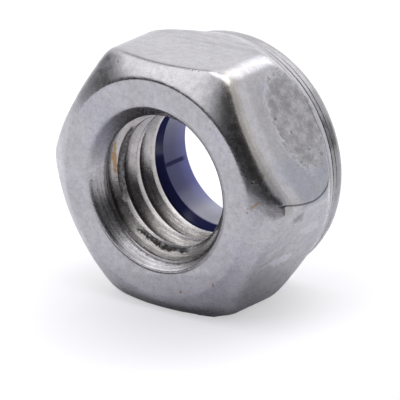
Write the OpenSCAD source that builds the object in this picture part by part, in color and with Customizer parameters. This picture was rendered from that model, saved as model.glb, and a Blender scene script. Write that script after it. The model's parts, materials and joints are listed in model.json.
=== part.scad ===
// Hexagon lock nut with a plastic ring held in a crimped collar.
// It lies on one flat with its thread axis along Y and its bearing face towards -Y.
// The origin is on the thread axis, halfway along the nut.

/* [Thread] */
// Nominal diameter of the screw thread that the nut takes
thread_d = 8; // [7.4:0.1:8.4]
// Pitch of the thread
thread_pitch = 1.25; // [1:0.05:1.5]

/* [Hexagon] */
// Width across two opposite flats
across_flats = 13; // [12.85:0.05:14.5]
// Radius of the six long edges between the flats
edge_r = 1.15; // [0.3:0.05:1.9]
// Angle of the conical back that falls from the shoulder to the corners, from the axis
back_angle = 21; // [12:1:35]

/* [Bearing side] */
// Diameter of the flat bearing face
face_d = 11.4; // [10:0.1:12.2]
// Angle of the corner chamfer round the bearing face, from that face
chamfer_angle = 36; // [20:1:45]
// Diameter of the countersink at the bearing face
sink_d = 8.6; // [8.1:0.1:9.4]
// Full angle of the countersink cone
sink_angle = 72; // [65:1:110]

/* [Collar] */
// Height of the whole nut along its axis
total_h = 7.65; // [7.35:0.05:8.4]
// Height of the round collar behind the hexagon
collar_h = 1.38; // [1.08:0.02:1.8]
// Width of the narrow shoulder between the hexagon's back and the collar
shoulder_w = 0.1; // [0.04:0.01:0.15]
// Thickness of the collar wall beside the plastic ring
collar_wall = 1.07; // [0.93:0.02:1.21]
// Radius of the crimp bend on the outside of the collar
bend_r = 0.84; // [0.46:0.02:0.9]
// Height of the lip that is bent over the plastic ring
lip_h = 0.7; // [0.45:0.05:0.85]
// Angle of the lip's inner edge, from the axis
lip_angle = 40; // [20:1:50]
// Diameter of the lip's opening where it meets the plastic ring
mouth_d = 9.3; // [8.4:0.1:9.6]

/* [Plastic ring] */
// Outer diameter of the plastic ring
ring_d = 10.5; // [10:0.02:10.7]
// Height of the plastic ring along the axis
ring_h = 2.22; // [1.84:0.02:2.44]
// Diameter of the plastic ring's bore before a screw has cut into it
ring_bore_d = 6.8; // [6.6:0.05:7]
// Radius of the ring's outer rim under the lip
ring_rim_r = 0.38; // [0.16:0.02:0.6]
// Width of the bevel at both ends of the ring's bore
ring_bevel = 0.2; // [0.1:0.05:0.3]
// Diameter of the bevel where the threaded hole opens under the ring
seat_sink_d = 7.4; // [7.1:0.1:7.8]
// Angle of that bevel, from the axis
seat_sink_angle = 30; // [20:1:50]

/* [Hidden] */
// Share of the pitch by which the hole is narrower than the thread, in the middle of the usual tolerance
minor_share = 0.975;
minor_r = (thread_d - minor_share * thread_pitch) / 2;
hexagon_h = total_h - collar_h;
flat_r = across_flats / 2;
ring_r = ring_d / 2;
ring_bore_r = ring_bore_d / 2;
collar_r = ring_r + collar_wall;
shoulder_r = collar_r + shoulder_w;
ring_top = total_h - lip_h;
ring_bottom = ring_top - ring_h;
// Overrun of every cut past the surface that it opens
overrun = 0.5;
$fn = 96;

// A disc whose upper rim is rounded
module rimmed_disc(radius, height, rim_r) {
    rotate_extrude() {
        square([radius - rim_r, height]);
        square([radius, height - rim_r]);
        translate([radius - rim_r, height - rim_r]) circle(r = rim_r);
    }
}

// A hexagonal bar with a corner at +X and its long edges rounded
module hexagon_bar() {
    linear_extrude(hexagon_h) offset(r = edge_r, $fn = 60) circle(r = (flat_r - edge_r) / cos(30), $fn = 6);
}

// The cold-formed hexagon, with a chamfer round its face and a conical back up to the shoulder
module hexagon() {
    intersection() {
        hexagon_bar();
        cylinder(h = hexagon_h, r1 = face_d / 2, r2 = face_d / 2 + hexagon_h / tan(chamfer_angle));
        cylinder(h = hexagon_h, r1 = shoulder_r + hexagon_h * tan(back_angle), r2 = shoulder_r);
    }
}

// The hole through the threaded part, at the thread's minor diameter, with a bevel at each end
module threaded_hole() {
    sink_slope = tan(sink_angle / 2);
    sink_r = sink_d / 2;
    seat_sink_r = seat_sink_d / 2;
    translate([0, 0, -overrun]) cylinder(r = minor_r, h = total_h + overrun);
    translate([0, 0, -overrun])
        cylinder(h = (sink_r - minor_r) / sink_slope + overrun, r1 = sink_r + overrun * sink_slope, r2 = minor_r);
    seat_slope = tan(seat_sink_angle);
    seat_sink_h = (seat_sink_r - minor_r) / seat_slope;
    translate([0, 0, ring_bottom - seat_sink_h])
        cylinder(h = seat_sink_h + overrun, r1 = minor_r, r2 = seat_sink_r + overrun * seat_slope);
}

// The space that the ring fills, shaped by the ring when the lip is crimped over it
module ring_space() {
    translate([0, 0, ring_bottom]) rimmed_disc(ring_r, ring_h, ring_rim_r);
}

// The lip's opening, which widens outwards
module lip_mouth() {
    translate([0, 0, ring_top - overrun])
        cylinder(
            h = overrun + lip_h + overrun,
            r1 = mouth_d / 2 - overrun * tan(lip_angle),
            r2 = mouth_d / 2 + (lip_h + overrun) * tan(lip_angle)
        );
}

// The ring's bore, with a bevel at each end
module ring_hole() {
    flare_r = ring_bore_r + overrun + ring_bevel;
    translate([0, 0, ring_bottom - overrun]) {
        cylinder(r = ring_bore_r, h = overrun + ring_h + overrun);
        cylinder(h = overrun + ring_bevel, r1 = flare_r, r2 = ring_bore_r);
    }
    translate([0, 0, ring_top - ring_bevel]) cylinder(h = ring_bevel + overrun, r1 = ring_bore_r, r2 = flare_r);
}

// The round collar behind the hexagon, with the bend of the crimp round its outside
module collar() {
    translate([0, 0, ring_bottom]) rimmed_disc(collar_r, total_h - ring_bottom, bend_r);
}

// Lays a piece that is drawn on its bearing face, from zero up, on a flat and round the origin
module lay() {
    rotate([-90, 0, 0]) translate([0, 0, -total_h / 2]) children();
}

module nut_body() {
    color([0.62, 0.62, 0.61]) lay() difference() {
        union() {
            hexagon();
            collar();
        }
        threaded_hole();
        ring_space();
        lip_mouth();
    }
}

module nylon_ring() {
    color([0.15, 0.18, 0.45]) lay() difference() {
        ring_space();
        ring_hole();
    }
}

nut_body();
nylon_ring();
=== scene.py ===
import bpy
import json
import math
from mathutils import Matrix, Vector, noise

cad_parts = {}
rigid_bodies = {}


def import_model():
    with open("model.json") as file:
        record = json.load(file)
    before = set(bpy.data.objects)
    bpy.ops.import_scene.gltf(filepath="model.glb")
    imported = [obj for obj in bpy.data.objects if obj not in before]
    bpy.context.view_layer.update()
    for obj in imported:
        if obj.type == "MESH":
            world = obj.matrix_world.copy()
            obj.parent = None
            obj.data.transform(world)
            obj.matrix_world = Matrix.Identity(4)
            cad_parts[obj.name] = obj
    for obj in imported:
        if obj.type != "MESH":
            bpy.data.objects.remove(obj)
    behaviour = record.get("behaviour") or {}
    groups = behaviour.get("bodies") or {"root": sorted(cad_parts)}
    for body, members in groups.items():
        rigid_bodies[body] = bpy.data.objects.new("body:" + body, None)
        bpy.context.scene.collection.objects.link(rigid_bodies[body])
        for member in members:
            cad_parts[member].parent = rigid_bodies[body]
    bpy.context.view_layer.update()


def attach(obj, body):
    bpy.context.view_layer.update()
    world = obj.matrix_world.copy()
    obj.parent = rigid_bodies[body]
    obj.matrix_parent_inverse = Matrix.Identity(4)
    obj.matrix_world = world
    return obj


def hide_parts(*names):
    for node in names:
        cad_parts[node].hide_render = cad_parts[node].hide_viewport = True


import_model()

# Pieces are drawn in millimetres, standing on the bearing face with the thread axis up.
# The last step of each one lays it on its flat, as the CAD has it, and brings it to metres.

sin30 = math.sin(math.radians(30))
cos30 = math.cos(math.radians(30))


def clearSelection():
    if bpy.context.object and bpy.context.object.mode != "OBJECT":
        bpy.ops.object.mode_set(mode="OBJECT")
    bpy.ops.object.select_all(action="DESELECT")


def pick(piece):
    clearSelection()
    piece.select_set(True)
    bpy.context.view_layer.objects.active = piece


def finishModifier(piece, kind, **settings):
    pick(piece)
    modifier = piece.modifiers.new(kind.lower(), kind)
    for name, value in settings.items():
        setattr(modifier, name, value)
    bpy.ops.object.modifier_apply(modifier=modifier.name)


def cut(piece, tool, operation="DIFFERENCE"):
    finishModifier(piece, "BOOLEAN", object=tool, operation=operation, solver="MANIFOLD")
    bpy.data.objects.remove(tool)


def selectEdges(piece, wanted):
    pick(piece)
    bpy.context.tool_settings.mesh_select_mode = (False, True, False)
    mesh = piece.data
    for part in (mesh.vertices, mesh.edges, mesh.polygons):
        for item in part:
            item.select = False
    for edge in mesh.edges:
        a, b = (mesh.vertices[i].co for i in edge.vertices)
        edge.select = wanted(a, b)
    bpy.ops.object.mode_set(mode="EDIT")


def leaveEdit():
    bpy.ops.mesh.select_all(action="SELECT")
    bpy.ops.mesh.normals_make_consistent(inside=False)
    bpy.ops.object.mode_set(mode="OBJECT")


def turned(name, steps, sides=256):  # a lathe shape: one disc, extruded and widened from step to step
    clearSelection()
    height, radius = steps[0]
    bpy.ops.mesh.primitive_circle_add(
        vertices=sides, radius=radius, fill_type="NGON", location=(0, 0, height),
    )
    piece = bpy.context.object
    piece.name = name
    bpy.ops.object.mode_set(mode="EDIT")
    bpy.ops.mesh.select_all(action="SELECT")
    for nextHeight, nextRadius in steps[1:]:
        bpy.ops.mesh.extrude_region_move(TRANSFORM_OT_translate={"value": (0, 0, nextHeight - height)})
        share = nextRadius / radius
        bpy.ops.transform.resize(value=(share, share, 1), center_override=(0, 0, nextHeight))
        height, radius = nextHeight, nextRadius
    leaveEdit()
    bpy.ops.object.transform_apply(location=True, rotation=False, scale=False)
    return piece


def roundRing(piece, height, radius, width, segments):  # bevels the ring of edges at that height and radius
    def onRing(a, b):
        return all(abs(p.z - height) < 0.01 and abs(math.hypot(p.x, p.y) - radius) < 0.02 for p in (a, b))

    selectEdges(piece, onRing)
    bpy.ops.mesh.bevel(offset=width, offset_type="OFFSET", segments=segments, affect="EDGES")
    leaveEdit()


def drawLine(name, points):  # one vertex, extruded from point to point, in the XZ plane
    clearSelection()
    bpy.ops.mesh.primitive_plane_add(size=1, location=(0, 0, 0))
    line = bpy.context.object
    line.name = name
    bpy.context.tool_settings.mesh_select_mode = (True, False, False)
    bpy.ops.object.mode_set(mode="EDIT")
    bpy.ops.mesh.select_all(action="SELECT")
    bpy.ops.mesh.merge(type="CENTER")
    spot = Vector((points[0][0], 0, points[0][1]))
    bpy.ops.transform.translate(value=spot)
    for r, z in points[1:]:
        bpy.ops.mesh.extrude_region_move(TRANSFORM_OT_translate={"value": (r - spot.x, 0, z - spot.z)})
        spot = Vector((r, 0, z))
    bpy.ops.object.mode_set(mode="OBJECT")
    return line


def scoreRing(piece, height, radius, width, depth):  # a fine V groove round the outside
    overlap = 0.02  # the core stands this far out of the piece beside the groove
    groove = turned("groove", [(height - width, radius + 1), (height + width, radius + 1)])
    core = turned("core", [
        (height - width - 1, radius + overlap), (height - width, radius + overlap), (height, radius - depth),
        (height + width, radius + overlap), (height + width + 1, radius + overlap),
    ])
    cut(groove, core)
    cut(piece, groove)


def layDown(piece, totalHeight):
    pick(piece)
    centred = Matrix.Translation((0, 0, -totalHeight / 2))
    piece.matrix_world = Matrix.Rotation(math.radians(-90), 4, "X") @ centred
    bpy.ops.object.transform_apply(location=True, rotation=True, scale=False)
    piece.scale = (0.001, 0.001, 0.001)
    bpy.ops.object.transform_apply(location=False, rotation=False, scale=True)


# Nut body: the cold-formed hexagon with its collar, in millimetres
nut = {
    "acrossFlats": 13.0,
    "edgeRadius": 1.15,
    "crispEdgeRadius": 0.8,  # of the edge at +X, which is less worn
    # height and radius along the crowned chamfer in front and the bulging back
    "chamfer": [(-0.2, 5.37), (0, 5.7), (0.12, 5.9), (0.3, 6.18), (0.56, 6.54), (1.2, 7.34), (6.27, 13.7)],
    "back": [
        (0, 9.0), (3.52, 7.54), (4.22, 7.44), (4.72, 7.28),
        (5.22, 7.0), (5.68, 6.68), (6.0, 6.49), (6.27, 6.42),
    ],
    "totalHeight": 7.65,
    "hexHeight": 6.27,
    "collarFrom": 3.8,  # inside the hexagon
    "collarRadius": 6.32,
    "bendRadius": 0.84,
    # grooves round the collar: height past the hexagon, radius past the collar's, half width, depth
    "grooves": [(0.06, 0.02, 0.1, 0.12), (0.4, 0.0, 0.04, 0.03)],
    "voxel": 0.1,
    "softening": 4,  # rounds of smoothing all over, of the edges and of the chamfer's rim
    "edgeSoftening": 26,
    "rimSoftening": 110,
    "crispBelow": 0.2,
    "crispAbove": 6.12,
    "crispShare": 0.25,  # of the edges' softening, on the edge at +X
    "lowCornerShare": 0.12,  # and on the front of the edge below it
    "lowCornerEnd": 2.5,
    "waves": (-0.035, 2.4),  # strength and size of the forged surface's slow waves and its ripples
    "ripples": (-0.01, 0.55),
}
patch = {  # the sunken, rougher patch on one flat: its middle and half sizes on that flat
    "along": 0.35,
    "height": 4.4,
    "length": 2.7,
    "width": 1.65,
    "depth": 0.035,
    "grain": (-0.01, 0.3),  # strength and size
}


def weigh(body, groupName, weight):
    group = body.vertex_groups.new(name=groupName)
    for v in body.data.vertices:
        share = weight(v.co)
        if share > 0:
            group.add([v.index], min(share, 1), "REPLACE")
    return group.name


def displace(body, groupName, weight, strength, size=None, depth=2):  # along clouds of that size, or evenly
    texture = None
    if size:
        texture = bpy.data.textures.new(groupName, "CLOUDS")
        texture.noise_scale = size
        texture.noise_depth = depth
    finishModifier(
        body, "DISPLACE", vertex_group=weigh(body, groupName, weight), strength=strength,
        mid_level=0.5 if texture else 0.0, texture=texture, texture_coords="LOCAL",
    )


def easeIn(share):
    share = min(max(share, 0), 1)
    return share * share * (3 - 2 * share)


def edgeWear(p):  # full on the long edges, less on the two sharper ones and none at both ends
    beyondFlats = nut["acrossFlats"] / 2 + 0.1
    share = min((p.z - nut["crispBelow"]) / 0.3, (nut["crispAbove"] - p.z) / 0.15)
    if p.x > beyondFlats:
        share = min(share, nut["crispShare"])
    if p.x * sin30 + p.y * cos30 > beyondFlats and p.z < nut["lowCornerEnd"]:
        share = min(share, nut["lowCornerShare"])
    return share


def rimWear(p):  # along the chamfer's rim on the two flats beside +X, half as much on the upper one
    share = easeIn((p.z - 0.2) / 0.2) * easeIn((1.8 - p.z) / 0.5)
    share *= easeIn((p.x * cos30 + abs(p.y) * sin30 - 5.7) / 0.3) * easeIn((abs(p.y) - 0.3) / 0.9)
    return share if p.y >= 0 else share * 0.5


def besideEnds(p):
    return easeIn((p.z - 0.08) / 0.45) * easeIn((nut["totalHeight"] - 0.08 - p.z) / 0.38)


def inSunkenPatch(p):
    # upright, the flat that the photo shows on the right faces (cos30, -sin30)
    if p.x * cos30 - p.y * sin30 < nut["acrossFlats"] / 2 - 0.15:
        return 0
    edge = noise.noise(p * 1.4) * 0.35 + noise.noise(p * 3.0) * 0.08
    u = (-p.x * sin30 - p.y * cos30 - patch["along"]) / patch["length"]
    v = (p.z - patch["height"]) / patch["width"]
    return easeIn((1 - math.hypot(u, v) + edge) / 0.35)


def makeHexagon():
    flat = nut["acrossFlats"] / 2
    high = nut["hexHeight"]
    over = 0.2  # the bar starts below the bearing face, which is cut last
    clearSelection()
    bpy.ops.mesh.primitive_cylinder_add(
        vertices=6, radius=flat / cos30, depth=high + over,
        location=(0, 0, (high - over) / 2), rotation=(0, 0, math.radians(30)),
    )
    body = bpy.context.object
    body.name = "nutBody"
    bpy.ops.object.transform_apply(location=True, rotation=True, scale=True)
    edges = ((nut["crispEdgeRadius"], lambda a: a.x > flat), (nut["edgeRadius"], lambda a: a.x < flat))
    for radius, chosen in edges:
        selectEdges(body, lambda a, b: abs(a.z - b.z) > 1 and abs(a.x) + abs(a.y) > flat and chosen(a))
        bpy.ops.mesh.bevel(
            offset=radius * math.tan(math.radians(30)), offset_type="OFFSET", segments=10, affect="EDGES"
        )
        leaveEdit()
    cut(body, turned("frontCone", nut["chamfer"]), "INTERSECT")
    cut(body, turned("backCone", nut["back"]), "INTERSECT")
    return body


def makeNutBlank():
    body = makeHexagon()
    top, wide = nut["totalHeight"], nut["collarRadius"]
    collar = turned("collar", [(nut["collarFrom"], wide), (top, wide)])
    roundRing(collar, top, wide, nut["bendRadius"], 12)
    cut(body, collar, "UNION")
    finishModifier(body, "REMESH", mode="VOXEL", voxel_size=nut["voxel"], adaptivity=0)
    finishModifier(body, "SMOOTH", factor=0.5, iterations=nut["softening"])
    soft = weigh(body, "tumbledEdges", edgeWear)
    worn = weigh(body, "wornRim", rimWear)
    finishModifier(body, "SMOOTH", factor=0.5, iterations=nut["edgeSoftening"], vertex_group=soft)
    finishModifier(body, "SMOOTH", factor=0.5, iterations=nut["rimSoftening"], vertex_group=worn)
    displace(body, "slowWaves", besideEnds, *nut["waves"])
    displace(body, "ripples", besideEnds, *nut["ripples"], 3)
    displace(body, "sunkenPatch", inSunkenPatch, -patch["depth"])
    displace(body, "patchGrain", inSunkenPatch, *patch["grain"], 3)
    cut(body, turned("faceCut", [(-1, 8), (0, 8)], 64))
    return body


# Threaded hole, ring seat and lip
ring = {
    "outerRadius": 5.25,
    "boreRadius": 3.4,
    "bottom": 4.73,
    "top": 6.95,
    "rimWidth": 0.38,
    "frontBevel": (0.33, 1),  # width and steps
    "backBevel": (0.14, 4),
}
lip = {  # height and radius along its mouth, from within the ring's space out past the top
    "mouth": [(6.58, 4.34), (7.53, 5.147), (7.61, 5.231), (7.65, 5.353), (7.95, 5.81)],
}
thread = {
    "pitch": 1.25,
    "minorRadius": 3.39,
    "majorRadius": 4.02,
    "crestWidth": 0.3,
    "crestRound": 0.03,
    "rootRound": 0.055,
    "crestAt": 2.965,  # height of one crest's middle, on the -X side
    "turns": 7,
    "stepsPerTurn": 160,
    "tapFrom": -0.8,  # below the bearing face
    "tapTo": 5.0,  # in the ring's space
    "sinkRadius": 4.27,
    "sinkAngle": 72,
    "sinkRim": 0.4,
    "endRadius": 3.6,
    "endAngle": 30,
}


def makeTap():
    pitch, low, high = thread["pitch"], thread["minorRadius"], thread["majorRadius"]
    flank = (high - low) * math.tan(math.radians(30))
    crest = thread["crestWidth"] / 2
    soft = thread["crestRound"]
    root = pitch / 2 - crest - flank
    half = [(low, 0), (low, crest - soft)]
    half += [(low + soft * 0.25, crest + soft * 0.2), (low + soft, crest + soft * 0.6)]
    half += [(low + (high - low) * share, crest + flank * share) for share in (0.1, 0.35, 0.65)]
    half += [
        (high - thread["rootRound"], crest + flank - 0.03), (high - 0.012, crest + flank + root * 0.35),
        (high, pitch / 2),
    ]
    points = half + [(r, pitch - z) for r, z in reversed(half[:-1])]
    tap = drawLine("tap", points)
    finishModifier(
        tap, "SCREW", axis="Z", screw_offset=pitch, angle=math.radians(360), steps=thread["stepsPerTurn"],
        render_steps=thread["stepsPerTurn"], iterations=thread["turns"],
    )
    tap.location.z = thread["crestAt"] - pitch * 4 - pitch / 2  # whole turns down, to start below the face
    bpy.ops.object.transform_apply(location=True, rotation=False, scale=False)
    bpy.ops.object.mode_set(mode="EDIT")
    bpy.ops.mesh.select_all(action="SELECT")
    bpy.ops.mesh.remove_doubles(threshold=0.001)  # joins each turn to the next
    for height, side in ((thread["tapFrom"], "clear_inner"), (thread["tapTo"], "clear_outer")):
        bpy.ops.mesh.select_all(action="SELECT")
        bpy.ops.mesh.bisect(plane_co=(0, 0, height), plane_no=(0, 0, 1), use_fill=True, **{side: True})
    leaveEdit()
    return tap


def makeCountersink():
    slope = math.tan(math.radians(thread["sinkAngle"] / 2))
    rim, low, wide = thread["sinkRim"], thread["minorRadius"], thread["sinkRadius"]
    over = 0.25  # overrun into the threaded hole
    turn = math.radians(90 - thread["sinkAngle"] / 2)
    arc = rim / math.tan((math.pi - turn) / 2)  # length along the face that the rounding takes
    steps = [(-0.5, wide + arc + 0.4), (-0.015, wide + arc)]  # from in front of the bearing face
    roundSteps = 6
    for i in range(1, roundSteps + 1):
        angle = turn * i / roundSteps
        steps.append((rim - rim * math.cos(angle), wide + arc - rim * math.sin(angle)))
    depth = (wide - low) / slope
    steps += [(depth + over, low - over * slope), (depth + over + 0.01, 1.0)]
    return turned("countersink", steps)


def makeRingSeat():
    low, end = thread["minorRadius"] - 0.03, thread["endRadius"]
    bottom, top = ring["bottom"], ring["top"]
    outer, rim = ring["outerRadius"], ring["rimWidth"]
    start = bottom - (end - low) / math.tan(math.radians(thread["endAngle"]))
    return turned("ringSeat", [
        (start, low), (bottom, end), (bottom + 0.008, outer), (top - rim, outer),
        (top - rim * 0.3, outer - rim * 0.3), (top, outer - rim), (top + 0.01, 1.5),
    ])


nutBody = makeNutBlank()
print("nut blank: faces", len(nutBody.data.polygons))
cut(nutBody, makeTap())
cut(nutBody, makeCountersink())
cut(nutBody, makeRingSeat())
for above, beyond, width, depth in nut["grooves"]:
    scoreRing(nutBody, nut["hexHeight"] + above, nut["collarRadius"] + beyond, width, depth)
cut(nutBody, turned("mouth", lip["mouth"]))
pick(nutBody)
bpy.ops.object.shade_smooth_by_angle(angle=math.radians(26))
layDown(nutBody, nut["totalHeight"])
print("nut body: triangles", sum(len(p.vertices) - 2 for p in nutBody.data.polygons))


# Nylon ring
def makeRing():
    low, high = ring["bottom"], ring["top"]
    outer, inner = ring["outerRadius"], ring["boreRadius"]
    body = turned("nylonRing", [(low, outer), (high, outer)], 192)
    roundRing(body, high, outer, ring["rimWidth"], 6)
    cut(body, turned("ringHole", [(low - 1, inner), (high + 1, inner)], 192))
    for height, bevel in ((low, ring["frontBevel"]), (high, ring["backBevel"])):
        roundRing(body, height, inner, *bevel)
    pick(body)
    bpy.ops.object.shade_smooth_by_angle(angle=math.radians(30))
    layDown(body, nut["totalHeight"])
    return body


nylonRing = makeRing()
print("nylon ring: faces", len(nylonRing.data.polygons))


# Node trees of the materials and the world
class NodeTree:  # short names for the steps that every tree here is made of
    def __init__(self, owner):
        owner.use_nodes = True
        self.nodes = owner.node_tree.nodes
        self.links = owner.node_tree.links

    def feed(self, socket, value):
        if isinstance(value, bpy.types.NodeSocket):
            self.links.new(value, socket)
        else:
            socket.default_value = value

    def calc(self, operation, *values):
        node = self.nodes.new("ShaderNodeMath")
        node.operation = operation
        for i, value in enumerate(values):
            self.feed(node.inputs[i], value)
        return node.outputs[0]

    def product(self, first, *others):
        for other in others:
            first = self.calc("MULTIPLY", first, other)
        return first

    def length(self, u, v):
        return self.calc("SQRT", self.calc("ADD", self.product(u, u), self.product(v, v)))

    def vector(self, operation, *values):
        node = self.nodes.new("ShaderNodeVectorMath")
        node.operation = operation
        for i, value in enumerate(values):
            self.feed(node.inputs[i], value)
        return node.outputs["Value" if operation in ("LENGTH", "DISTANCE", "DOT_PRODUCT") else "Vector"]

    def scaled(self, vector, factor):
        node = self.nodes.new("ShaderNodeVectorMath")
        node.operation = "SCALE"
        self.feed(node.inputs[0], vector)
        self.feed(node.inputs["Scale"], factor)
        return node.outputs["Vector"]

    def fade(self, value, start, end, low=0.0, high=1.0):  # from low at the start to high at the end
        node = self.nodes.new("ShaderNodeMapRange")
        node.interpolation_type = "SMOOTHSTEP"
        settings = {"Value": value, "From Min": start, "From Max": end, "To Min": low, "To Max": high}
        for name, item in settings.items():
            self.feed(node.inputs[name], item)
        return node.outputs["Result"]

    def between(self, value, start, full, fullTo, end):  # rises from start to full, falls from fullTo to end
        return self.product(self.fade(value, start, full), self.fade(value, end, fullTo))

    def blend(self, share, first, second):
        node = self.nodes.new("ShaderNodeMix")
        node.data_type = "RGBA"
        self.feed(node.inputs["Factor"], share)
        for name, item in (("A", first), ("B", second)):
            self.feed(node.inputs[name], item if isinstance(item, bpy.types.NodeSocket) else (*item, 1))
        return node.outputs["Result"]


class Finish(NodeTree):  # a material of one of the nut's pieces, with places on the nut in millimetres
    def __init__(self, name):
        self.material = bpy.data.materials.new(name)
        super().__init__(self.material)
        self.shader = self.nodes["Principled BSDF"]
        self.place = self.nodes.new("ShaderNodeTexCoord").outputs["Object"]
        axes = self.nodes.new("ShaderNodeSeparateXYZ")
        self.feed(axes.inputs[0], self.place)
        self.x, y, self.z = (self.calc("MULTIPLY", axes.outputs[name], 1000.0) for name in "XYZ")
        self.height = self.calc("ADD", y, nut["totalHeight"] / 2)  # above the bearing face
        self.radius = self.length(self.x, self.z)
        # turns round the axis, from +X towards +Z
        self.turns = self.calc("DIVIDE", self.calc("ARCTAN2", self.z, self.x), 2 * math.pi)
        self.normal = None

    def noise(self, scale, detail=4, rough=0.5, where=None):
        node = self.nodes.new("ShaderNodeTexNoise")
        self.feed(node.inputs["Vector"], where or self.place)
        node.inputs["Scale"].default_value = scale
        node.inputs["Detail"].default_value = detail
        node.inputs["Roughness"].default_value = rough
        return node.outputs["Fac"]

    def cells(self, scale):
        node = self.nodes.new("ShaderNodeTexVoronoi")
        self.feed(node.inputs["Vector"], self.place)
        node.inputs["Scale"].default_value = scale
        return node.outputs["Distance"]

    def shadeBy(self, mask, level):  # takes the light to that level where the mask is full
        self.light = self.product(self.light, self.fade(mask, 0, 1, 1, level))

    def tintBy(self, mask, share, tone):
        self.colour = self.blend(self.product(mask, share), self.colour, tone)

    def bump(self, height, distance, strength):
        node = self.nodes.new("ShaderNodeBump")
        node.inputs["Strength"].default_value = strength
        node.inputs["Distance"].default_value = distance
        self.feed(node.inputs["Height"], height)
        if self.normal:
            self.feed(node.inputs["Normal"], self.normal)
        self.normal = node.outputs["Normal"]

    def stretched(self, spot, turn, size):  # coordinates round a spot, turned about Y and stretched to a size
        node = self.nodes.new("ShaderNodeMapping")
        node.vector_type = "TEXTURE"
        node.inputs["Location"].default_value = [c / 1000 for c in spot]
        node.inputs["Rotation"].default_value = (0, math.radians(-turn), 0)
        node.inputs["Scale"].default_value = [c / 1000 for c in size]
        self.links.new(self.place, node.inputs["Vector"])
        return node.outputs["Vector"]

    def finished(self):
        self.feed(self.shader.inputs["Base Color"], self.colour)
        self.feed(self.shader.inputs["Normal"], self.normal)
        return self.material

    def along(self, xPart, zPart):  # distance from the axis in the direction (xPart, zPart)
        return self.calc("ADD", self.product(self.x, xPart), self.product(self.z, zPart))

    def streaked(self, direction, stretch, scale):  # noise drawn out along a direction
        main = self.vector("DOT_PRODUCT", self.place, direction)
        drawn = self.scaled(direction, self.product(main, stretch - 1))
        return self.noise(scale, 4, 0.65, self.vector("ADD", self.place, drawn))


# Stainless steel: tones, the levels to which the light goes where the metal is worn or scuffed, and the
# levels of painted shade and painted highlight
steel = {
    "tone": (0.41, 0.40, 0.413),
    "coolTone": (0.375, 0.385, 0.45),
    "warmTone": (0.45, 0.425, 0.395),
    "stainTone": (0.30, 0.17, 0.06),
    "pitTone": (0.1, 0.1, 0.11),
    "paleTone": (0.6, 0.59, 0.63),
    "roughness": 0.25,
    "wornRoughness": 0.25,  # added on the first crest and in the scuffs
    "pitLevel": 0.65,
    "rootShadeLevel": 0.5,
    "crestHighlightLevel": 1.08,
    "shadowAtSinkEndLevel": 0.42,
    "tornLevel": 0.2,
    "underEdgeShadeLevel": 0.55,
    "sinkLipShadeLevel": 0.68,
    "brinkLevel": 1.16,
    "warmRimHighlightLevel": 1.08,
    "frontHighlightLevel": 1.2,
    "flatEndShadeLevel": 0.93,
    "outsideLevel": 1.1,
    "collarShadeLevels": (0.74, 0.83),  # above and below
    "scuffLevel": 1.22,
    "topStreakLevel": 0.86,
    # marks in millimetres: place, turn about Y, size along the turned X, Y and Z,
    # then the depth of the colour and its name
    "marks": [
        ((-3.71, -2.39, 0.47), 0, (0.3, 0.08, 1.35), 0.85, "stainTone"),
        ((-3.6, -1.3, 0.45), 0, (0.3, 0.1, 0.2), 0.5, "stainTone"),
        ((1.57, -3.82, -5.11), 0, (0.11, 0.2, 0.11), 0.7, "stainTone"),
        ((3.59, -3.82, -4.34), 0, (0.08, 0.2, 0.13), 0.8, "stainTone"),
        ((6.08, -3.65, 0.34), 45, (0.3, 0.3, 0.07), 0.6, "stainTone"),
        ((6.5, -3.25, 2.2), 62, (1.2, 0.2, 0.045), 0.5, "stainTone"),
        ((6.29, 0.7, 2.1), 120, (0.09, 0.11, 0.3), 0.8, "pitTone"),
        ((6.51, -0.29, 1.73), 120, (0.1, 0.09, 0.3), 0.7, "pitTone"),
        ((5.71, -0.03, 3.11), 120, (0.12, 0.1, 0.3), 0.5, "pitTone"),
        ((5.25, -0.75, 3.9), 120, (0.1, 0.16, 0.3), 0.6, "pitTone"),
        ((7.02, -1.31, -0.83), 60, (0.42, 0.6, 0.3), 0.6, "pitTone"),
        ((5.48, -0.71, -3.51), 60, (0.42, 1.15, 0.4), 0.9, "paleTone"),
        ((6.35, 0.5, -2.0), 60, (0.35, 0.9, 0.4), 0.5, "paleTone"),
        ((6.5, -2.6, -1.75), 60, (0.5, 0.3, 0.4), 0.3, "paleTone"),
    ],
}
scoredLine = {  # the fine line that bounds the worn flat, a rounded box, in millimetres on that flat
    "middle": -0.12,
    "halfWidth": 3.62,
    "cornerRadius": 2.6,
    "cornerHeight": 3.215,
    "leanBelow": 3.6,
    "lean": 0.062,
}


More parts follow.
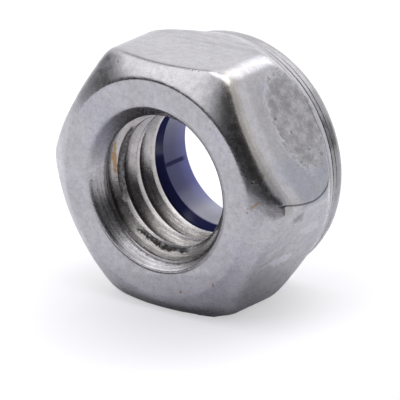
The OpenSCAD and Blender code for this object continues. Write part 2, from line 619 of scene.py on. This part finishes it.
class Steel(Finish):  # tumbled stainless steel, with the wear of each part of the nut and painted shade and highlights
    def __init__(self):
        super().__init__("tumbledStainless")
        self.grain = self.noise(8000, 3, 0.6)
        self.mottle = self.noise(2600, 4, 0.6)
        self.across = self.along(-sin30, cos30)  # on the flat that the photo shows on the right
        self.outward = self.along(cos30, sin30)
        self.onFlat = self.fade(self.outward, 6.15, 6.3)
        self.tumbled()
        self.hole()
        self.countersink()
        self.sunkenPatch()
        self.flatFront()
        self.collar()
        self.lineRoundFlat()
        self.otherFlats()
        # the light, with its painted shade and highlights, scales the colour
        self.colour = self.scaled(self.colour, self.light)
        self.marks()
        self.shader.inputs["Metallic"].default_value = 1
        rough = self.fade(self.mottle, 0.3, 0.7, steel["roughness"] + 0.04, steel["roughness"] - 0.03)
        dull = self.product(self.calc("MAXIMUM", self.firstCrest, self.scuff), steel["wornRoughness"])
        self.feed(self.shader.inputs["Roughness"], self.calc("ADD", rough, dull))

    def tumbled(self):  # fine grain, faint mottling, pits and bluish clouds all over
        pitted = self.fade(self.noise(1300, 2), 0.54, 0.62)
        pits = self.product(self.fade(self.cells(1900), 0.16, 0.07), pitted)
        clouds = self.fade(self.noise(420, 2), 0.5, 0.75, 0, 0.35)
        self.colour = self.blend(clouds, steel["tone"], steel["coolTone"])
        self.light = self.product(
            self.fade(self.mottle, 0.3, 0.7, 0.95, 1.05), self.fade(self.grain, 0.3, 0.7, 0.93, 1.07),
            self.fade(self.noise(650, 3), 0.3, 0.7, 0.96, 1.04),
        )
        self.shadeBy(pits, steel["pitLevel"])
        self.bump(self.noise(1800, 3, 0.6), 0.00003, 0.10)
        self.bump(self.grain, 0.000015, 0.16)
        self.bump(self.calc("SUBTRACT", 1.0, pits), 0.000015, 0.4)

    def hole(self):  # turned streaks, painted shade in the roots, painted highlights on the crests and rough dark metal on the first crest
        steps = self.calc("DIVIDE", self.calc("SUBTRACT", self.height, thread["crestAt"]), thread["pitch"])
        phase = self.calc("ADD", steps, self.calc("SUBTRACT", self.turns, 0.5))
        # distance past the middle of the nearest crest, in pitches
        self.pastCrest = self.calc("SUBTRACT", phase, self.calc("ROUND", phase))
        self.inHole = self.product(self.fade(self.radius, 4.36, 4.3), self.fade(self.height, 4.8, 4.76))
        # the countersink's radius on its cone, more behind it
        slope = math.tan(math.radians(thread["sinkAngle"] / 2))
        self.pastSink = self.calc("MULTIPLY_ADD", self.height, slope, self.radius)
        inThread = self.product(
            self.fade(self.radius, 4.12, 4.06), self.inHole, self.fade(self.pastSink, 4.3, 4.35)
        )

        ringWays = self.nodes.new("ShaderNodeCombineXYZ")
        for name, item, scale in (("X", self.radius, 6.5), ("Y", self.height, 6.5), ("Z", self.turns, 5.0)):
            self.feed(ringWays.inputs[name], self.product(item, scale))
        streaks = self.noise(1.6, 5, 0.7, ringWays.outputs[0])
        low = self.fade(self.z, -1.0, -2.6)
        dark, pale = self.fade(low, 0, 1, 0.92, 0.78), self.fade(low, 0, 1, 1.1, 1.22)
        self.shadeBy(self.inHole, self.fade(streaks, 0.3, 0.7, dark, pale))
        self.bump(self.product(streaks, self.inHole, self.fade(low, 0, 1, 0.3, 1.0)), 0.000045, 0.5)

        # painted shade in the thread's roots and painted highlight on its crests
        self.shadeBy(self.product(self.fade(self.radius, 3.7, 3.9), inThread), steel["rootShadeLevel"])
        self.shadeBy(self.product(self.fade(self.radius, 3.45, 3.42), inThread), steel["crestHighlightLevel"])
        self.tintBy(inThread, 0.6, steel["warmTone"])
        self.firstCrest = self.product(
            inThread, self.fade(self.calc("ABSOLUTE", self.pastCrest), 0.19, 0.15),
            self.between(self.height, 1.2, 1.3, 2.15, 2.3), self.fade(self.z, -1.8, -1.3),
            self.fade(self.x, -2.4, -2.8),
        )
        self.shadeBy(self.firstCrest, self.fade(self.noise(5200, 3, 0.7), 0.35, 0.65, 0.25, 0.8))
        self.bump(self.product(self.noise(6500, 4, 0.7), self.firstCrest), 0.0001, 1.0)

    def countersink(self):  # a painted shadow line at its end, a torn edge low in the thread, painted shade and highlight low on its cone, painted shade on its rim and painted shade under the nut's lower front edge
        onCone = self.product(
            self.fade(self.radius, 4.27, 4.22), self.inHole, self.fade(self.pastSink, 4.32, 4.29)
        )
        ragged = self.noise(4200, 5, 0.8)
        uneven = self.calc("ADD", self.pastCrest, self.fade(ragged, 0.3, 0.7, -0.04, 0.04))
        lineStart = self.calc("SUBTRACT", uneven, self.fade(self.z, -1.0, -2.4, 0, 0.03))
        lineEnd = (self.fade(self.z, -1.5, -3.0, 0.4, 0.3), self.fade(self.z, -1.5, -3.0, 0.35, 0.24))
        # painted shadow line where the countersink ends
        shadowAtSinkEnd = self.product(onCone, self.fade(lineStart, 0.16, 0.19), self.fade(self.pastCrest, *lineEnd))
        torn = self.product(
            self.inHole, self.between(uneven, -0.23, -0.19, -0.1, -0.07),
            self.between(self.height, 0.8, 1.0, 1.65, 1.75), self.fade(self.z, -2.75, -3.1),
            self.fade(self.x, 1.6, 0.8), self.fade(ragged, 0.35, 0.6, 0.2, 1.0),
        )
        # painted shade on the low part of the cone towards -X and painted highlight towards +X
        lowOnCone = self.product(onCone, self.fade(self.z, -2.2, -3.4))
        self.shadeBy(lowOnCone, self.fade(self.x, -1.2, 0.2, 0.72, 1.2))
        self.shadeBy(shadowAtSinkEnd, steel["shadowAtSinkEndLevel"])
        self.shadeBy(torn, steel["tornLevel"])
        self.bump(self.product(torn, -1.0), 0.00006, 0.8)
        # painted shade on the countersink's rim towards +X
        sinkLip = self.product(
            self.between(self.radius, 4.24, 4.3, 4.4, 4.5), self.fade(self.x, 0.5, 2.5),
            self.fade(self.height, 0.4, 0.3),
        )
        self.shadeBy(sinkLip, steel["sinkLipShadeLevel"])
        # painted shade along the nut's lower front edge, beside the floor
        underEdge = self.product(self.fade(self.z, -5.6, -6.3), self.fade(self.height, 1.3, 0.5))
        self.shadeBy(underEdge, steel["underEdgeShadeLevel"])

    def sunkenPatch(self):  # rougher and a little darker than the flat, with a paler brink
        u = self.calc("DIVIDE", self.calc("SUBTRACT", self.across, patch["along"]), patch["length"])
        v = self.calc("DIVIDE", self.calc("SUBTRACT", self.height, patch["height"]), patch["width"])
        self.reach = self.calc("ADD", self.length(u, v), self.fade(self.mottle, 0.2, 0.8, -0.15, 0.15))
        inPatch = self.product(self.fade(self.reach, 0.98, 0.9), self.onFlat)
        self.shadeBy(inPatch, self.fade(self.noise(1700, 5, 0.75), 0.35, 0.65, 0.66, 1.04))
        self.bump(self.product(self.noise(3000, 4, 0.65), inPatch), 0.00004, 0.45)
        fromBrink = self.calc("ABSOLUTE", self.calc("SUBTRACT", self.reach, 1.02))
        brink = self.product(self.fade(fromBrink, 0.07, 0.02), self.onFlat, self.fade(self.height, 4.6, 3.8))
        self.shadeBy(brink, steel["brinkLevel"])

    def flatFront(self):  # the flat's warm front rim with a painted highlight, bluish middle, painted shade at its lower end and painted highlight on its front and top
        fromFace = self.calc("SUBTRACT", self.radius, 5.7)
        fromChamfer = self.calc("SUBTRACT", self.height, self.product(fromFace, 0.74))
        # painted shade towards the flat's lower end
        self.shadeBy(self.product(self.onFlat, self.fade(self.across, -0.5, -2.2)), steel["flatEndShadeLevel"])
        # painted highlight and a warm tint along the flat's front rim
        warmHighlightRim = self.product(
            self.fade(fromChamfer, 0.6, 0.2), self.fade(self.across, -3.4, 0.5, 0.1, 1.0),
            self.fade(self.outward, 6.1, 6.2),
        )
        self.shadeBy(warmHighlightRim, steel["warmRimHighlightLevel"])
        self.tintBy(warmHighlightRim, 0.8, steel["warmTone"])
        bluish = self.product(
            self.fade(self.noise(500, 3), 0.35, 0.6), self.onFlat, self.fade(self.reach, 0.9, 1.1),
            self.fade(fromChamfer, 0.5, 0.9), self.fade(self.across, 3.0, 2.2),
        )
        self.tintBy(bluish, 0.7, steel["coolTone"])
        # painted highlight on the flat's front and towards its top
        front = self.between(fromChamfer, 0.35, 0.6, 0.8, 1.5)
        litFrontOrTop = self.calc("MAXIMUM", front, self.fade(self.across, 2.1, 3.1, 0.0, 0.55))
        self.shadeBy(self.product(litFrontOrTop, self.onFlat), steel["frontHighlightLevel"])

    def collar(self):  # painted shade that makes it darker than the hexagon, more so above than below, and a painted dark reflection beside the flat
        onCollar = self.fade(self.height, 6.3, 6.42)
        # painted shade on the collar
        self.shadeBy(onCollar, self.fade(self.turns, 0.0, -0.05, *steel["collarShadeLevels"]))
        # painted dark reflection in a band on the collar beside the flat
        darkReflectionBand = self.product(
            onCollar, self.fade(self.height, 7.2, 6.9), self.between(self.turns, 0.02, 0.05, 0.065, 0.09)
        )
        self.shadeBy(darkReflectionBand, self.fade(self.mottle, 0.3, 0.7, 0.35, 0.6))

    def lineRoundFlat(self):  # a scored line round the worn flat, paler metal outside it
        ahead = self.calc("MAXIMUM", self.calc("SUBTRACT", scoredLine["leanBelow"], self.height), 0.0)
        leaning = self.product(ahead, ahead, scoredLine["lean"])
        sideways = self.calc("SUBTRACT", self.calc("SUBTRACT", self.across, scoredLine["middle"]), leaning)
        straight = scoredLine["halfWidth"] - scoredLine["cornerRadius"]
        sideways = self.calc("MAXIMUM", self.calc("SUBTRACT", self.calc("ABSOLUTE", sideways), straight), 0.0)
        backwards = self.calc("MAXIMUM", self.calc("SUBTRACT", self.height, scoredLine["cornerHeight"]), 0.0)
        fromLine = self.calc("SUBTRACT", self.length(sideways, backwards), scoredLine["cornerRadius"])
        nearFlat = self.fade(self.outward, 5.9, 6.1)
        scored = self.product(
            self.fade(self.calc("ABSOLUTE", fromLine), 0.06, 0.03), nearFlat,
            self.fade(self.height, 0.95, 1.1), self.fade(self.across, 2.9, 2.4),
        )
        self.shadeBy(scored, self.fade(self.across, -2.4, -1.2, 0.35, 0.75))
        self.bump(self.product(scored, -1.0), 0.00002, 0.5)
        outside = self.product(self.fade(fromLine, 0.04, 0.15), nearFlat, self.fade(self.height, 2.6, 3.2))
        self.shadeBy(outside, steel["outsideLevel"])

    def otherFlats(self):  # scuffs on the flat below it, streaks on the flat on top
        lowFlat = self.fade(self.along(cos30, -sin30), 6.0, 6.25)
        scuffs = self.streaked((0.1, 0.98, 0.17), 0.16, 1500)
        self.scuff = self.product(
            self.fade(scuffs, 0.48, 0.62), lowFlat, self.between(self.z, -4.6, -3.2, -1.0, -0.3),
            self.fade(self.height, 1.0, 1.6), self.fade(self.noise(480, 2), 0.4, 0.5),
        )
        self.shadeBy(self.scuff, steel["scuffLevel"])
        self.bump(self.product(self.scuff, -1.0), 0.00002, 0.5)
        topStreaks = self.streaked((1.0, 0.04, 0.0), 0.08, 2600)
        onTop = self.product(self.fade(self.z, 6.3, 6.4), self.between(self.height, 3.6, 4.1, 5.2, 5.7))
        self.shadeBy(self.product(onTop, self.fade(topStreaks, 0.56, 0.42)), steel["topStreakLevel"])
        self.bump(self.product(topStreaks, onTop), 0.00002, 0.5)

    def marks(self):
        breakUp = self.fade(self.noise(4200, 3, 0.7), 0.2, 0.8, -0.5, 0.5)
        for spot, turn, size, depth, tone in steel["marks"]:
            near = self.calc("ADD", self.vector("LENGTH", self.stretched(spot, turn, size)), breakUp)
            self.tintBy(self.fade(near, 1.0, 0.55), depth, steel[tone])


# Blue nylon
nylon = {
    "tone": (0.035, 0.04, 0.17),
    "edgeTone": (0.10, 0.105, 0.36),  # where light comes through from behind
    "paleTone": (0.45, 0.45, 0.5),  # where light gathers low in the bore
    "seamTone": (0.015, 0.015, 0.09),
    "seamAt": -0.4567,  # in turns round the axis, from +X towards +Z
    "roughness": 0.14,
    "shine": 0.5,
    "seamShine": 0.1,
}


class Nylon(Finish):
    def __init__(self):
        super().__init__("blueNylon")
        bottom, top = ring["bottom"], ring["top"]
        self.colour = self.blend(self.fade(self.height, bottom + 0.9, top), nylon["tone"], nylon["edgeTone"])
        lowInBore = self.product(
            self.fade(self.z, -2.4, -3.1), self.fade(self.x, -2.4, -1.3),
            self.fade(self.height, bottom + 0.3, bottom + 0.5),
        )
        self.tintBy(lowInBore, 0.55, nylon["paleTone"])
        self.colour = self.scaled(self.colour, self.fade(self.noise(900, 4, 0.6), 0.35, 0.65, 0.94, 1.06))
        fromSeam = self.calc("ABSOLUTE", self.calc("SUBTRACT", self.turns, nylon["seamAt"]))
        seam = self.product(
            self.fade(fromSeam, 0.0058, 0.0042),
            self.between(self.height, bottom + 0.3, bottom + 0.4, top - 0.6, top - 0.15),
        )
        self.tintBy(seam, 1.0, nylon["seamTone"])
        self.shader.inputs["Roughness"].default_value = nylon["roughness"]
        shine = self.shader.inputs["Specular IOR Level"]
        shine.default_value = nylon["shine"]  # what an export keeps of it
        self.feed(shine, self.fade(seam, 0, 1, nylon["shine"], nylon["seamShine"]))
        self.bump(self.noise(3200, 3), 0.00001, 0.25)


def dress(piece, finish, node):
    piece.data.materials.clear()
    piece.data.materials.append(finish.finished())
    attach(piece, "root")
    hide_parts(node)
    print("dressed", piece.name, "with nodes:", len(finish.nodes))


dress(nutBody, Steel(), "nut_body")
dress(nylonRing, Nylon(), "nylon_ring")

# Floor, light and camera
studio = {
    "floorColor": (0.94, 0.94, 0.98),
    "floorRoughness": 0.9,
    "floorShine": 0.1,
    "floorRadius": 0.12,
    "floorMiddle": (-0.099, -0.043),  # the floor's near right edge ends the dark strip in the chamfer
    "glowSeen": 0.5,  # share of plain white in the floor, for the camera and for metal and glass
    "glowMirrored": 0.09,
    "glowStrengthMirrored": 0.05,
    "shadeColor": (0.66, 0.66, 0.73),  # painted shadow on the floor in front of the nut
    "shadeMiddle": (0.002, -0.0055),
    "shadeReach": (0.001, 0.0085),
    "azimuth": 37.99,
    "elevation": 19.90,
    "roll": -0.84,
    "distance": 0.38121,
    "target": (0.001881, -0.002577, -0.000543),
    "lens": 690.1,
}


def makeFloorPaint(level):
    paint = bpy.data.materials.new("paleFloor")
    tree = NodeTree(paint)
    shader = tree.nodes["Principled BSDF"]
    shader.inputs["Roughness"].default_value = studio["floorRoughness"]
    shader.inputs["Specular IOR Level"].default_value = studio["floorShine"]
    place = tree.nodes.new("ShaderNodeNewGeometry").outputs["Position"]
    # painted shadow: the floor's colour darkens towards a spot in front of the nut
    away = tree.vector("DISTANCE", place, (*studio["shadeMiddle"], level))
    colour = tree.blend(tree.fade(away, *studio["shadeReach"]), studio["shadeColor"], studio["floorColor"])
    tree.feed(shader.inputs["Base Color"], colour)
    rays = tree.nodes.new("ShaderNodeLightPath").outputs
    share = tree.product(rays["Is Camera Ray"], studio["glowSeen"])
    for ray in ("Is Glossy Ray", "Is Transmission Ray"):
        share = tree.calc("MULTIPLY_ADD", rays[ray], studio["glowMirrored"], share)
    glow = tree.nodes.new("ShaderNodeEmission")
    strength = tree.calc("MAXIMUM", rays["Is Camera Ray"], studio["glowStrengthMirrored"])
    tree.feed(glow.inputs["Strength"], strength)
    mixed = tree.nodes.new("ShaderNodeMixShader")
    for socket, value in zip(mixed.inputs, (share, shader.outputs["BSDF"], glow.outputs["Emission"])):
        tree.feed(socket, value)
    tree.feed(tree.nodes["Material Output"].inputs["Surface"], mixed.outputs["Shader"])
    return paint


floorLevel = -nut["acrossFlats"] / 2 / 1000
clearSelection()
bpy.ops.mesh.primitive_circle_add(
    vertices=192, radius=studio["floorRadius"], fill_type="NGON",
    location=(*studio["floorMiddle"], floorLevel),
)
floor = bpy.context.object
floor.name = "floor"
floor.data.materials.append(makeFloorPaint(floorLevel))
print("floor laid")

# What stands round the nut, as its metal mirrors it: direction, the degrees from it within which
# it is full and beyond which it is gone, and brightness
surroundings = {
    "backdropLeft": ((-0.55, 0.76, 0.34), 14, 45, 1.25),
    "backdropRight": ((0.60, 0.74, 0.30), 14, 40, 0.92),
    "wallFarRight": ((0.84, 0.08, 0.42), 18, 32, 0.6),
    "softBox": ((0.10, -0.02, 1.00), 14, 30, 3.0),
    "softBoxBehind": ((0.0, 0.74, 0.68), 6, 30, 2.2),
    "softBoxLeft": ((-0.56, -0.58, 0.60), 22, 40, 1.8),
    "gapLeft": ((-0.58, 0.32, 0.74), 5, 13, 0.35),
    "wallRight": ((0.55, -0.66, 0.50), 28, 36, 0.036),
    "camera": ((0.47, -0.84, 0.09), 21, 31, 0.015),
}
darkRoom = {  # the unlit room in front of the table, above its edge
    "towards": (-0.25, -0.97, 0.0),
    "fadeSides": (0.1, 0.4),
    "fadeHeight": (0.42, 0.30),
    "brightness": 0.02,
}
paperLeft = ((-0.96, -0.25, -0.06), 6, 15, 0.5)
coolness = 1.02  # how much bluer than grey all of it is


def makeWorld():
    world = bpy.data.worlds.new("studio")
    tree = NodeTree(world)
    way = tree.nodes.new("ShaderNodeTexCoord").outputs["Generated"]

    def facing(direction, start, end):
        return tree.fade(tree.vector("DOT_PRODUCT", way, Vector(direction).normalized()), start, end)

    def overlay(shade, share, brightness):
        return tree.blend(share, shade, (brightness, brightness, brightness * coolness))

    def card(shade, direction, full, gone, brightness):
        share = facing(direction, math.cos(math.radians(gone)), math.cos(math.radians(full)))
        return overlay(shade, share, brightness)

    shade = (1, 1, coolness)
    for item in surroundings.values():
        shade = card(shade, *item)
    inRoom = facing(darkRoom["towards"], *darkRoom["fadeSides"])
    inRoom = tree.product(inRoom, facing((0, 0, 1), *darkRoom["fadeHeight"]))
    shade = card(overlay(shade, inRoom, darkRoom["brightness"]), *paperLeft)
    seen = tree.nodes.new("ShaderNodeLightPath").outputs["Is Camera Ray"]
    sky = tree.nodes["Background"]
    tree.feed(sky.inputs["Color"], tree.blend(seen, shade, (1, 1, 1)))
    sky.inputs["Strength"].default_value = 1
    return world


def addCamera():
    azimuth, elevation, roll = (math.radians(studio[name]) for name in ("azimuth", "elevation", "roll"))
    ahead = Vector((math.sin(azimuth), -math.cos(azimuth), 0)) * math.cos(elevation)
    back = ahead + Vector((0, 0, math.sin(elevation)))
    right = Vector((math.cos(azimuth), math.sin(azimuth), 0))
    tiltedRight = right * math.cos(roll) + back.cross(right) * math.sin(roll)
    tiltedUp = back.cross(tiltedRight)
    bpy.ops.object.camera_add(location=Vector(studio["target"]) + back * studio["distance"])
    camera = bpy.context.object
    camera.rotation_euler = Matrix((tiltedRight, tiltedUp, back)).transposed().to_euler()
    camera.data.lens = studio["lens"]
    camera.data.sensor_width = 36
    camera.data.clip_start = 0.01
    camera.data.clip_end = 20
    return camera


bpy.context.scene.world = makeWorld()
bpy.context.scene.camera = addCamera()
bpy.context.scene.view_settings.view_transform = "Standard"
print("world and camera set")
